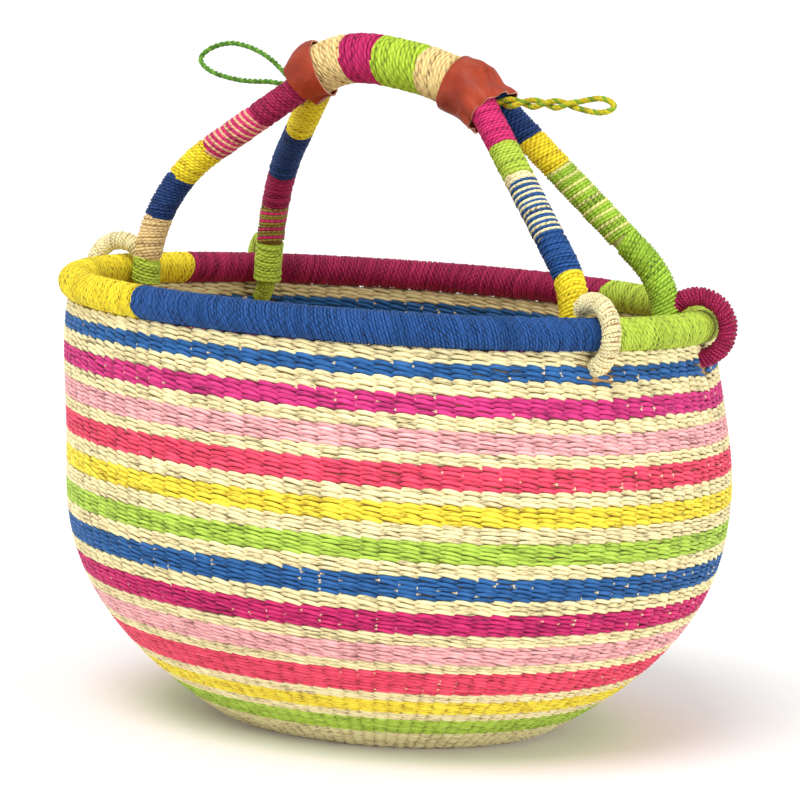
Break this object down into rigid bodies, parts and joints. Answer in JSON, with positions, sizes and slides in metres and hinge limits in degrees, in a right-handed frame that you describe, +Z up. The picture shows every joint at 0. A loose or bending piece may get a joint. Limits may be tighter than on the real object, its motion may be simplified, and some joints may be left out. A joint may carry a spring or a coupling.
{
  "type": "market basket",
  "caption": "Round hand-woven straw market basket with coloured stripes, a wrapped rim and an arched two-hoop handle with leather cuffs and hanging loops.",
  "frame": {"origin": "centre of the flat underside, on the surface that the basket stands on", "axes": "+Z up, +X along the grip towards the right-hand cuff, +Y towards the back"},
  "size_m": [0.3915, 0.376, 0.385],
  "materials": {
    "natural_straw": "woven straw, satin",
    "blue_straw": "woven straw, satin",
    "navy_straw": "woven straw, satin",
    "magenta_straw": "woven straw, satin",
    "burgundy_straw": "woven straw, satin",
    "pink_straw": "woven straw, satin",
    "coral_straw": "woven straw, satin",
    "yellow_straw": "woven straw, satin",
    "gold_straw": "woven straw, satin",
    "green_straw": "woven straw, satin",
    "lime_straw": "woven straw, satin",
    "striped_straw": "woven straw, satin",
    "leather": "smooth, satin"
  },
  "bodies": {
    "basket": {"woven_base": "natural_straw", "inner_weave": "natural_straw", "warp_stakes": "natural_straw", "natural_bands": "natural_straw", "rim_core": "natural_straw", "top_blue_band": "blue_straw", "magenta_band": "magenta_straw", "upper_pink_band": "pink_straw", "upper_coral_band": "coral_straw", "upper_yellow_band": "yellow_straw", "upper_green_band": "green_straw", "middle_blue_band": "blue_straw", "burgundy_band": "burgundy_straw", "lower_pink_band": "pink_straw", "lower_coral_band": "coral_straw", "lower_yellow_band": "yellow_straw", "lower_green_band": "green_straw", "rim_burgundy_wrap": "burgundy_straw", "rim_yellow_wrap": "gold_straw", "rim_blue_wrap": "blue_straw", "rim_lime_wrap": "lime_straw"},
    "handle": {"front_hoop_core": "natural_straw", "back_hoop_core": "natural_straw", "left_front_leg_green_wrap": "lime_straw", "left_front_leg_natural_wrap": "natural_straw", "left_front_leg_blue_wrap": "blue_straw", "left_front_leg_yellow_wrap": "gold_straw", "left_front_leg_striped_wrap": "striped_straw", "left_front_leg_burgundy_wrap": "burgundy_straw", "left_back_leg_green_wrap": "lime_straw", "left_back_leg_striped_wrap": "striped_straw", "left_back_leg_burgundy_wrap": "burgundy_straw", "left_back_leg_blue_wrap": "navy_straw", "left_back_leg_yellow_wrap": "gold_straw", "right_front_leg_yellow_wrap": "gold_straw", "right_front_leg_blue_wrap": "blue_straw", "right_front_leg_striped_wrap": "striped_straw", "right_front_leg_natural_wrap": "natural_straw", "right_front_leg_green_wrap": "lime_straw", "right_front_leg_magenta_wrap": "burgundy_straw", "right_back_leg_green_wrap": "lime_straw", "right_back_leg_striped_wrap": "striped_straw", "right_back_leg_yellow_wrap": "gold_straw", "right_back_leg_navy_wrap": "navy_straw", "left_front_eye_wrap": "natural_straw", "left_back_eye_wrap": "lime_straw", "right_front_eye_wrap": "natural_straw", "right_back_eye_wrap": "burgundy_straw", "grip_left_natural_wrap": "natural_straw", "grip_burgundy_wrap": "burgundy_straw", "grip_green_wrap": "lime_straw", "grip_right_natural_wrap": "natural_straw", "left_cuff": "leather", "right_cuff": "leather", "left_hanging_loop": "lime_straw", "right_hanging_loop": "gold_straw"}
  },
  "joints": [
    {"name": "handle_rock", "type": "hinge", "parent": "basket", "child": "handle", "pos_m": [0, 0, 0.237], "axis": [1, 0, 0], "range_deg": [-1.5, 1.5]}
  ]
}
